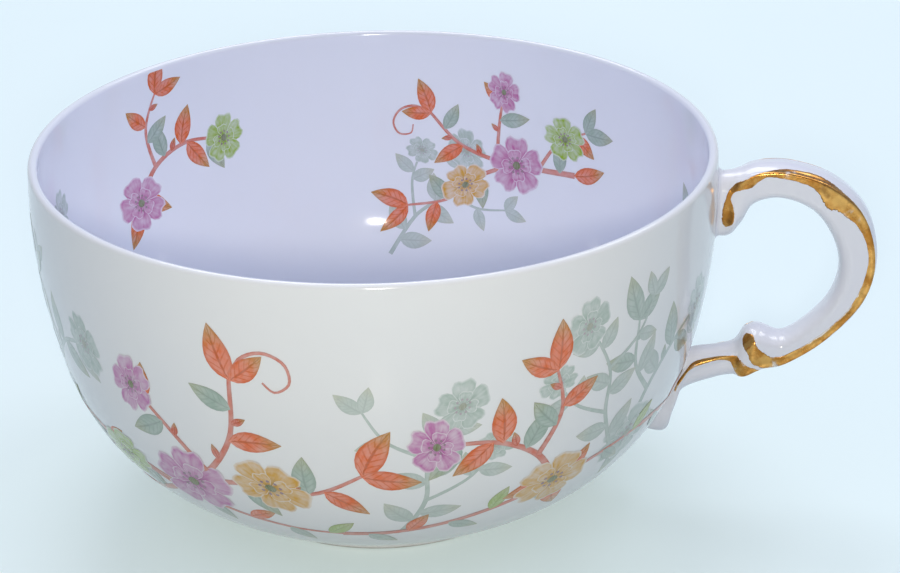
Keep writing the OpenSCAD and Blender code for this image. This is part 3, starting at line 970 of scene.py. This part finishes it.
def on_wall(wall, turn_deg, s0, x, y, lift):
    """Points and normals at (x, y) from the wall's point at an angle and an arc length below the lip."""
    s = s0 - y
    radius, height, out_r, out_z = (np.interp(s, wall[:, 0], wall[:, k]) for k in range(1, 5))
    angle = np.radians(turn_deg) + x / radius
    normal = np.stack([out_r * np.cos(angle), out_r * np.sin(angle), out_z], -1)
    points = np.stack([radius * np.cos(angle), radius * np.sin(angle), height], -1)
    return points + lift[..., None] * normal, normal


print("outer wall", OUTER_WALL[-1, 0].round(1), "mm long, inner wall", INNER_WALL[-1, 0].round(1), "mm")

# %% [markdown]
# A motif is a patch: a small grid of points with its own map. Petals, leaves, dots and lines each have a
# formula for their outline. They are repeated hundreds of times, so their grids are coarse.

# %% Motif shapes
PETAL_GRID, LEAF_GRID, DOT_GRID, LINE_GRID = (5, 10), (9, 4), (5, 4), (26, 2)
PETAL_SPREAD = 0.66
LEAST_HALF = 0.02
LINE_TAPER = 0.55


def lattice(grid):
    """Way along from 0 to 1 and way across from -1 to 1, on a grid."""
    return np.meshgrid(np.linspace(0, 1, grid[0]), np.linspace(-1, 1, grid[1]), indexing="ij")


def petal_shape(size, seed):
    """Fan from the heart, 38 degrees each way: radius size / 2 (1 - notch - drawn-in sides + frill)."""
    p, q = lattice(PETAL_GRID)
    reach = 1 - 0.10 * bump(q, 0.22) - 0.36 * q**4 + 0.025 * np.sin(8 * q + seed)
    radius = size / 2 * reach * (0.1 + 0.9 * p)
    return radius * np.cos(PETAL_SPREAD * q), radius * np.sin(PETAL_SPREAD * q)


def leaf_shape(length, width, bend):
    """Pointed oval about an arched midrib: half the width times a skewed sine."""
    p, q = lattice(LEAF_GRID)
    half = np.maximum(width / 2 * np.sin(np.pi * p**0.8) ** 0.9, LEAST_HALF)
    return length * p, half * q + bend * length * p * (1 - p)


def dot_shape(radius):
    """Round dot: the half-width is the root of 1 less the way from the middle, squared."""
    p, q = lattice(DOT_GRID)
    middle = 1.96 * p - 0.98
    return radius * middle, radius * q * np.sqrt(1 - middle**2)


def line_shape(knots, width):
    """Ribbon of a given width along a smooth curve through knots, fine at its far end."""
    p, q = lattice(LINE_GRID)
    knots = np.asarray(knots, float)
    middle = through(knots, p * (len(knots) - 1))
    course = np.gradient(middle[:, 0], axis=0)
    course /= np.linalg.norm(course, axis=1, keepdims=True)
    half = width / 2 * q * (1 - LINE_TAPER * p)
    return middle[..., 0] - half * course[:, 1:], middle[..., 1] + half * course[:, :1]


def rotated(x, y, degrees):
    """Points turned about the origin."""
    c, s = math.cos(math.radians(degrees)), math.sin(math.radians(degrees))
    return x * c - y * s, x * s + y * c


def turned(shape, degrees, squash=1.0, axis=0.0):
    """A shape turned about its start, then flattened across an axis, as a flower seen from the side."""
    x, y = rotated(*shape, degrees - axis)
    return rotated(x, squash * y, axis)


def moved(shape, x, y):
    """A shape moved by x and y."""
    return shape[0] + x, shape[1] + y


print("a leaf 5 mm long is", np.ptp(leaf_shape(5.0, 2.4, 0.1)[1]).round(2), "mm wide")

# %% [markdown]
# A print is a list of patches. Each has its place on the wall, its outline, its ink and the finish that
# draws it. Patches that overlap lie thousandths of a millimetre above each other, in the order in
# which a painter would lay them. The films also keep the exact normals of the wall, so that the glaze
# runs on through them.

# %% Collecting patches
FILM_OVER, LAYER_STEP, FILM_UNDER = 0.008, 0.005, 0.25
SEED_STEP = 7.31


def rim_of(rows, cols):
    """Point numbers round the border of a grid, in order."""
    grid = np.arange(rows * cols).reshape(rows, cols)
    return np.concatenate([grid[0, :-1], grid[:-1, -1], grid[-1, :0:-1], grid[:0:-1, 0]])


def rungs(rows):
    """Faces that close the back of a ribbon from one long side of its rim to the other."""
    i = np.arange(rows - 1)
    return np.stack([-i % (2 * rows), 2 * rows - i - 1, i + 2, i + 1], -1)


class Print:
    """Patches of one print on one wall."""

    def __init__(self, wall):
        self.wall, self.count, self.drawn, self.discs = wall, 0, 0, np.zeros((0, 5))
        self.rows, self.faces = [], {}

    def next_layer(self, points):
        """One above the highest layer that the patch meets; a row of its grid counts as a disc as wide."""
        middle = (points[:, 0] + points[:, -1]) / 2
        radius = np.linalg.norm(points[:, -1] - points[:, 0], axis=1) / 2
        apart = np.linalg.norm(self.discs[:, None, :3] - middle, axis=2)
        met = (apart < self.discs[:, 3:4] + radius).any(1)
        layer = 1 + self.discs[met, 4].max(initial=-1)
        self.discs = np.vstack([self.discs, np.column_stack([middle, radius, np.full(len(radius), layer)])])
        return layer

    def keep(self, faces, kind):
        """Keeps faces of one finish with those that have as many corners."""
        self.faces.setdefault(faces.shape[1], []).append((faces + self.count, np.full(len(faces), kind)))

    def patch(self, spot, shape, ink, strength, kind):
        """Adds a closed film: a grid just above the glaze, a wall round it, and a back in the porcelain."""
        x, y = shape
        rows, cols = x.shape
        layer = self.next_layer(on_wall(self.wall, *spot, x, y, 0 * x)[0])
        over, normal = on_wall(self.wall, *spot, x, y, 0 * x + FILM_OVER + LAYER_STEP * layer)
        under = on_wall(self.wall, *spot, x, y, 0 * x - FILM_UNDER)[0]
        p, q = lattice(x.shape)
        uv = np.stack([(q + 1) / 2, p], -1)
        front, back = (np.concatenate([side, normal, uv], -1).reshape(x.size, -1) for side in (over, under))
        rim = rim_of(rows, cols)
        below = x.size + np.arange(len(rim))
        self.keep(quads_of(rows, cols), kind)
        self.keep(np.stack([np.roll(rim, -1), rim, below, np.roll(below, -1)], -1), kind)
        self.keep(x.size + rungs(rows) if cols == 2 else below[None, ::-1], kind)
        total = x.size + len(rim)
        printed = np.tile([*INKS[ink][:3], strength, SEED_STEP * self.drawn], (total, 1))
        self.rows.append(np.column_stack([np.vstack([front, back[rim]]), printed]))
        self.count += total
        self.drawn += 1

    def make(self, name):
        """Turns the patches into one piece with its map, inks, seeds and exact normals."""
        points, normals, maps, inks, seeds = np.split(np.vstack(self.rows), [3, 6, 8, 12], axis=1)
        groups = outwards(points, [np.vstack([faces for faces, _ in kept]) for kept in self.faces.values()])
        kinds = np.concatenate([kind for kept in self.faces.values() for _, kind in kept])
        made = make_piece(name, points, groups, INK_FINISHES[0])
        mesh = made.data
        for finish in INK_FINISHES[1:]:
            mesh.materials.append(finish)
        mesh.polygons.foreach_set("material_index", kinds.astype(np.int32))
        corner = np.concatenate([faces.ravel() for faces in groups])
        mesh.uv_layers.new(name="film").data.foreach_set("uv", maps[corner].astype(np.float32).ravel())
        ink = mesh.attributes.new("ink", "FLOAT_COLOR", "POINT")
        ink.data.foreach_set("color", inks.astype(np.float32).ravel())
        set_values(made, "seed", seeds.ravel())
        set_values(made, "within", np.full(self.count, float(self.wall is INNER_WALL)))
        mesh.normals_split_custom_set_from_vertices(normals.tolist())
        print(f"{name}: {self.drawn} patches in {int(self.discs[:, 4].max()) + 1} layers")


print("films lie", FILM_OVER, "mm above the glaze, each layer", LAYER_STEP, "mm higher")

# %% [markdown]
# ## The design
#
# The design is a plain garland of garden flowers of no particular kind: a wavy stem runs round the belly,
# with leaves, two rich sprays and three small ones, and pale sage shadows of such sprays between them. At
# the handle it stays simple. Inside, a few sprays lie below the lip. The motifs come first: a blossom is
# made of petals in two rings about a heart with stamens, and a leaf grows from a point.

# %% Motifs
PETAL_RINGS = ((1.0, 5, 0), (0.56, 4, 150))
HEART_SHARE = 0.07
STAMENS, STAMEN_SHARE, STAMEN_OUT, STAMEN_STRENGTH = 9, 0.022, 0.13, 0.9


def blossom(sheet, spot, x, y, size, turn_deg, squash, axis, ink, strength):
    """Five petals and four smaller ones above them, about a heart with a ring of stamens."""
    for share, count, ahead in PETAL_RINGS:
        for k in range(count):
            petal = petal_shape(share * size, turn_deg + 2 * k)
            shape = turned(petal, turn_deg + ahead + 360 * k / count, squash, axis)
            sheet.patch(spot, moved(shape, x, y), ink, strength, PETAL)
    heart = turned(dot_shape(HEART_SHARE * size), 0, squash, axis)
    sheet.patch(spot, moved(heart, x, y), "olive", strength, LINE)
    for k in range(STAMENS):
        stamen = moved(dot_shape(STAMEN_SHARE * size), STAMEN_OUT * size, 0)
        shape = turned(stamen, turn_deg + 360 * k / STAMENS, squash, axis)
        sheet.patch(spot, moved(shape, x, y), "plum", STAMEN_STRENGTH * strength, LINE)


def leaf(sheet, spot, x, y, length, width, heading, bend, ink, strength):
    """Leaf that grows from (x, y) in a direction."""
    shape = moved(turned(leaf_shape(length, width, bend), heading), x, y)
    sheet.patch(spot, shape, ink, strength, LEAF)


print("a blossom has", sum(count for _, count, _ in PETAL_RINGS), "petals and", STAMENS, "stamens")

# %% [markdown]
# A spray is drawn once, in millimetres from its foot, and is scaled, mirrored and turned where it goes. A
# stem is a row of knots and a width. Leaves and blossoms are tied to the stems: stem number and way along
# it from 0 to 1, then leaves have a heading against the stem, length, width and bend, and blossoms have
# size, turn, flattening, its axis and a place in the palette. Shades are leaves in pale sage, and thorns
# are tiny leaves in the colour of the stem.

# %% Sprays
RICH = {
    "stems": [
        ([(-8, -4), (-2, 0), (4, 5), (8, 11), (9, 18)], 1.0), ([(2, 3), (9, 4.5), (15, 4), (21, 7)], 0.8),
        ([(4, 5), (0, 10), (-4, 14)], 0.7), ([(-2, 0), (-8, 2), (-14, 1)], 0.7),
        ([(9, 18), (10.4, 20.6), (12.8, 21.6), (15, 20.6), (15.4, 18.4), (13.8, 17.2), (12.6, 18.2)], 0.45)],
    "shades": [
        (3, 1, 25, 6, 2.8, 0.1), (3, 1, -40, 5, 2.4, -0.1), (2, 0.55, 75, 5.5, 2.6, 0.1),
        (1, 0.66, 75, 5.4, 2.5, 0.1), (0, 0.86, 70, 5, 2.4, 0.1), (1, 0.3, -75, 5.6, 2.6, -0.1),
        (0, 0.12, 85, 5.6, 2.6, 0.1)],
    "thorns": [
        (0, 0.6, 48, 2, 0.9, 0), (0, 0.8, -50, 1.9, 0.9, 0), (1, 0.55, 45, 1.8, 0.8, 0),
        (2, 0.4, -50, 1.8, 0.8, 0)],
    "leaves": [
        (1, 1, 30, 7, 3, 0.15), (1, 1, -38, 6, 2.7, -0.15), (1, 0.75, -70, 5.2, 2.5, 0.1),
        (0, 0.72, -62, 5.8, 2.6, 0.1), (0, 1, 25, 6.4, 2.9, 0.1), (0, 1, -42, 5, 2.4, -0.1),
        (0, 0, 165, 6.6, 2.8, 0.2), (2, 0.8, -55, 4.6, 2.2, -0.1), (3, 0.8, 62, 5, 2.4, 0.1)],
    "blossoms": [
        (3, 0.62, 8.6, 5, 0.86, 20, 0), (1, 0.44, 9, 50, 0.82, 150, 1), (2, 1, 7.4, 30, 0.8, 80, 2),
        (0, 0.38, 10.6, 15, 0.92, 40, 3)]}
SMALL = {
    "stems": [([(0, 0), (3, 5), (8, 8), (14, 8.5)], 0.85), ([(3, 5), (1, 10), (2, 15)], 0.65)],
    "shades": [(0, 0.45, 78, 5, 2.4, 0.1), (0, 0.85, -60, 5, 2.4, -0.1), (1, 0.35, -60, 4.6, 2.2, -0.1)],
    "thorns": [(0, 0.52, 45, 1.9, 0.9, 0), (1, 0.75, -45, 1.6, 0.8, 0)],
    "leaves": [
        (1, 1, 15, 5.6, 2.6, 0.1), (1, 1, -50, 4.6, 2.2, -0.1), (0, 0.62, 62, 5.6, 2.6, 0.12),
        (0, 0.68, -60, 5.2, 2.5, -0.1), (1, 0.55, 62, 4.6, 2.2, 0.1), (0, 0, 190, 6, 2.7, 0.15),
        (0, 0.1, -85, 5.4, 2.5, -0.15)],
    "blossoms": [(0, 1, 7.2, 20, 0.8, 110, 1), (0, 0.04, 8.8, 70, 0.88, 10, 0)]}
LEAFY = {
    "stems": [
        ([(0, 0), (3, 6), (4, 12), (8, 18)], 0.65), ([(3, 6), (8, 8.5), (11, 12)], 0.5),
        ([(4, 12), (0, 15), (-2, 19)], 0.5)],
    "shades": [
        (0, 0.15, 60, 4.8, 2.5, 0.12), (0, 0.22, -62, 4.6, 2.4, -0.12), (0, 0.48, 66, 4.4, 2.4, 0.12),
        (0, 0.55, -58, 4.2, 2.2, -0.12), (0, 0.8, 60, 3.8, 2, 0.1), (0, 0.84, -60, 3.6, 1.9, -0.1),
        (1, 0.5, 58, 3.6, 2, 0.1), (1, 0.6, -60, 3.8, 2, -0.1), (2, 0.5, 60, 3.4, 1.8, 0.1),
        (2, 1, 20, 3.6, 1.8, 0.1), (2, 1, -45, 3.2, 1.7, -0.1)],
    "thorns": [],
    "leaves": [],
    "blossoms": [(0, 1, 7, 20, 0.8, 60, 0), (1, 1, 5, 60, 0.8, 20, 1)]}
STEM_STRENGTH, SHADE_STRENGTH, SHADOW_STRENGTH = 0.9, 0.8, 0.7
NUDGE = 0.02


def framed(knots, pose):
    """Points of a spray that is scaled, mirrored and turned: (scale, mirror, degrees)."""
    scale, mirror, degrees = pose
    x, y = (scale * np.asarray(knots, float) * [mirror, 1]).T
    return np.stack(rotated(x, y, degrees), -1)


def draw(sheet, spray, spot, pose, inks, leaf_colour="peach", stem_colour="rust", strength=1.0):
    """Draws a spray at a spot of the wall: stems, then leaves, then blossoms."""
    scale, mirror = pose[:2]
    stems = [framed(knots, pose) for knots, _ in spray["stems"]]

    def on_stem(number, way):
        last = len(stems[number]) - 1
        a, b = through(stems[number], np.clip(way * last + np.array([-NUDGE, NUDGE]), 0, last))
        return *((a + b) / 2), math.degrees(math.atan2(*(b - a)[::-1]))

    for knots, (_, width) in zip(stems, spray["stems"]):
        sheet.patch(spot, line_shape(knots, scale * width), stem_colour, STEM_STRENGTH * strength, LINE)
    kinds = (("shades", "sage", SHADE_STRENGTH), ("thorns", stem_colour, 1.0), ("leaves", leaf_colour, 1.0))
    for kind, ink, share in kinds:
        for number, way, against, length, width, bend in spray[kind]:
            x, y, course = on_stem(number, way)
            heading = course + mirror * against
            size = scale * length, scale * width
            leaf(sheet, spot, x, y, *size, heading, mirror * bend, ink, share * strength)
    for number, way, size, *look, which in spray["blossoms"]:
        x, y, _ = on_stem(number, way)
        blossom(sheet, spot, x, y, scale * size, *look, inks[which], strength)


def shadow_of(sheet, spray, spot, pose):
    """Draws a spray in pale sage."""
    draw(sheet, spray, spot, pose, ["sage"] * 4, "sage", "sage", SHADOW_STRENGTH)


print("sprays ready")

# %% [markdown]
# The outer print follows the garland. Its stem is six ribbons that overlap, its small leaves point up and
# down in turn, and the sprays stand on it at even turns of the cup. Shadows go first, so that everything
# lies over them.

# %% Outer print
GARLAND_S, GARLAND_SWING, GARLAND_WAVES, GARLAND_W = 36.0, 5.0, 3, 1.1
GARLAND_RUNS, RUN_KNOTS, RUN_OVERLAP = 6, 15, 1.0
GARLAND_LEAVES, GARLAND_LEAF, LEAF_HEADING, LEAF_BEND = 48, (5.0, 2.3), 48, 0.1
LEAF_ORDER = (("sage", 0.7), ("peach", 1.0), ("sage", 0.7), ("lime", 0.8))
PALETTES = [("lime", "ochre", "mauve", "mauve"), ("ochre", "mauve", "lime", "ochre"),
            ("mauve", "lime", "ochre", "lime")]
RICH_AT = -118.0


def garland_s(turn_deg):
    """Arc length of the garland below the lip: a wave of three periods round the cup."""
    return GARLAND_S + GARLAND_SWING * np.sin(np.radians(GARLAND_WAVES * (np.asarray(turn_deg) - RICH_AT)))


def garland_radius(s):
    """Radius of the wall at an arc length."""
    return np.interp(s, OUTER_WALL[:, 0], OUTER_WALL[:, 1])


def garland_slope(turn_deg):
    """Direction of the garland in degrees above level, from its change over a small turn."""
    s = garland_s(turn_deg + np.array([-1, 0, 1]))
    return math.degrees(math.atan2(s[0] - s[2], garland_radius(s[1]) * math.radians(2)))


def on_garland(turn_deg):
    """Spot of the wall on the garland."""
    return float(turn_deg), float(garland_s(turn_deg))


outer_print = Print(OUTER_WALL)
for k in range(3):
    here = RICH_AT + 120 * k
    shadow_of(outer_print, LEAFY, on_garland(here - 40), (1.2, -1, -4))
    shadow_of(outer_print, LEAFY, on_garland(here + 40), (1.25, 1, 6))
    shadow_of(outer_print, SMALL, on_garland(here + 84), (1.3, 1, 14))
for k in range(GARLAND_RUNS):
    here = RICH_AT + 360 / GARLAND_RUNS * k
    reach = 180 / GARLAND_RUNS + RUN_OVERLAP
    turns = np.linspace(-reach, reach, RUN_KNOTS)
    above = garland_s(here) - garland_s(here + turns)
    beside = np.radians(turns) * garland_radius(garland_s(here + turns))
    stem = line_shape(np.column_stack([beside, above]), GARLAND_W)
    outer_print.patch(on_garland(here), stem, "rust", STEM_STRENGTH, LINE)
for k in range(GARLAND_LEAVES):
    here = RICH_AT + 360 * (k + 0.5) / GARLAND_LEAVES
    side = 1 if k % 2 else -1
    heading = garland_slope(here) + LEAF_HEADING * side
    leaf(outer_print, on_garland(here), 0, 0, *GARLAND_LEAF, heading, LEAF_BEND * side, *LEAF_ORDER[k % 4])
for k in range(3):
    draw(outer_print, SMALL, on_garland(RICH_AT + 120 * k + 68), (1.3, -1, 0), PALETTES[(k + 1) % 3])
for k in (0, 2):
    draw(outer_print, RICH, on_garland(RICH_AT + 120 * k), (1.25, 1, 0), PALETTES[k])
outer_print.make("outer_flower_print")

# %% [markdown]
# Inside, two rich sprays face each other across the bowl, each with a small one and two shadows beside
# it. A spot inside is a turn in degrees and an arc length below the lip.

# %% Inner print
inner_print = Print(INNER_WALL)
for k, here in enumerate((66.0, 246.0)):
    shadow_of(inner_print, LEAFY, (here + 30, 36.0), (1.1, 1, 60))
    shadow_of(inner_print, SMALL, (here + 120, 30.0), (1.1, -1, -40))
    draw(inner_print, SMALL, (here + 86, 20.0), (1.15, -1, 12), PALETTES[2 - k])
    draw(inner_print, RICH, (here, 21.0), (0.95, 1, -38), PALETTES[k])
inner_print.make("inner_flower_print")
